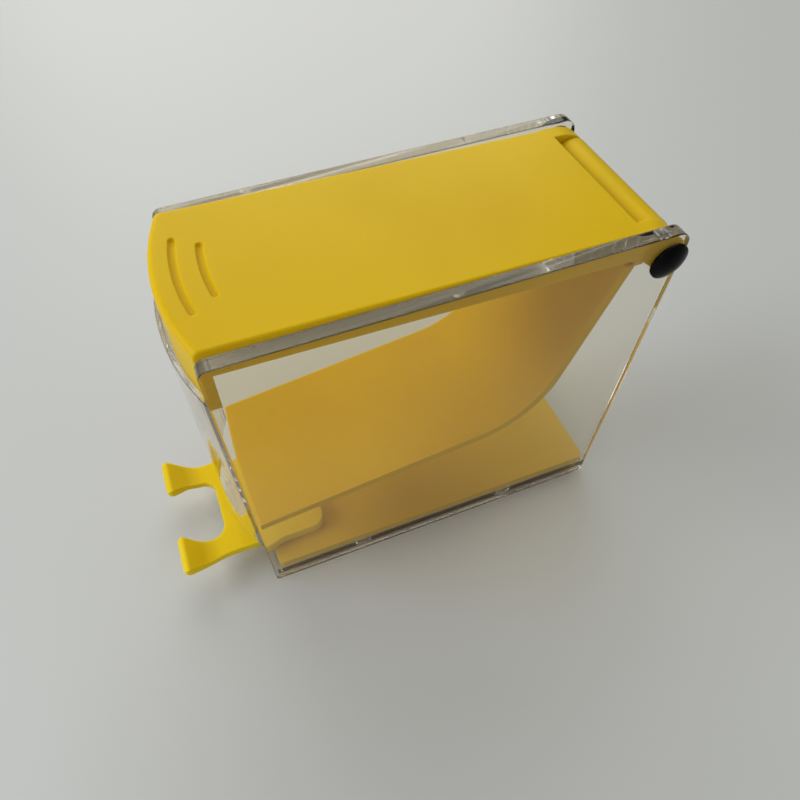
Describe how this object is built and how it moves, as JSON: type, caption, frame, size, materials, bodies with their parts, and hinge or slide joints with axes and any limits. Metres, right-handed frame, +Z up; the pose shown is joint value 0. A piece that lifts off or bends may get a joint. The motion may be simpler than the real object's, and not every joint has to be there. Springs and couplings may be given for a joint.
{
  "type": "cotton roll dispenser",
  "caption": "Desktop cotton roll dispenser: clear case with a bowed front wall, a lid that presses a sloping ramp down about the rear hinge, and a forked cradle that catches the roll.",
  "frame": {"origin": "on the standing surface, under the middle of the whole outline", "axes": "+Z up, +Y from the front with the cradle to the hinge at the rear, +X to the right seen from the front"},
  "size_m": [0.051, 0.1243, 0.0952],
  "materials": {
    "clear_plastic": "clear moulded polystyrene, polished",
    "yellow_plastic": "moulded, glossy",
    "black_plastic": "moulded, glossy",
    "steel": "drawn wire and rod"
  },
  "bodies": {
    "case": {"clear_case": "clear_plastic", "floor_tray": "yellow_plastic", "roll_cradle": "yellow_plastic", "hinge_rod": "steel", "right_axle_cap": "black_plastic", "left_axle_cap": "black_plastic"},
    "lever": {"ramp_lever": "yellow_plastic", "return_spring": "steel"},
    "lid": {"lid": "yellow_plastic"}
  },
  "joints": [
    {"name": "press", "type": "hinge", "parent": "case", "child": "lever", "pos_m": [0, 0.05767, 0.0871], "axis": [1, 0, 0], "range_deg": [0, 11], "stiffness_Nm_per_rad": 0.15, "springref_deg": -28.65},
    {"name": "lid_open", "type": "hinge", "parent": "lever", "child": "lid", "pos_m": [0, 0.05767, 0.0871], "axis": [-1, 0, 0], "range_deg": [0, 100]}
  ]
}
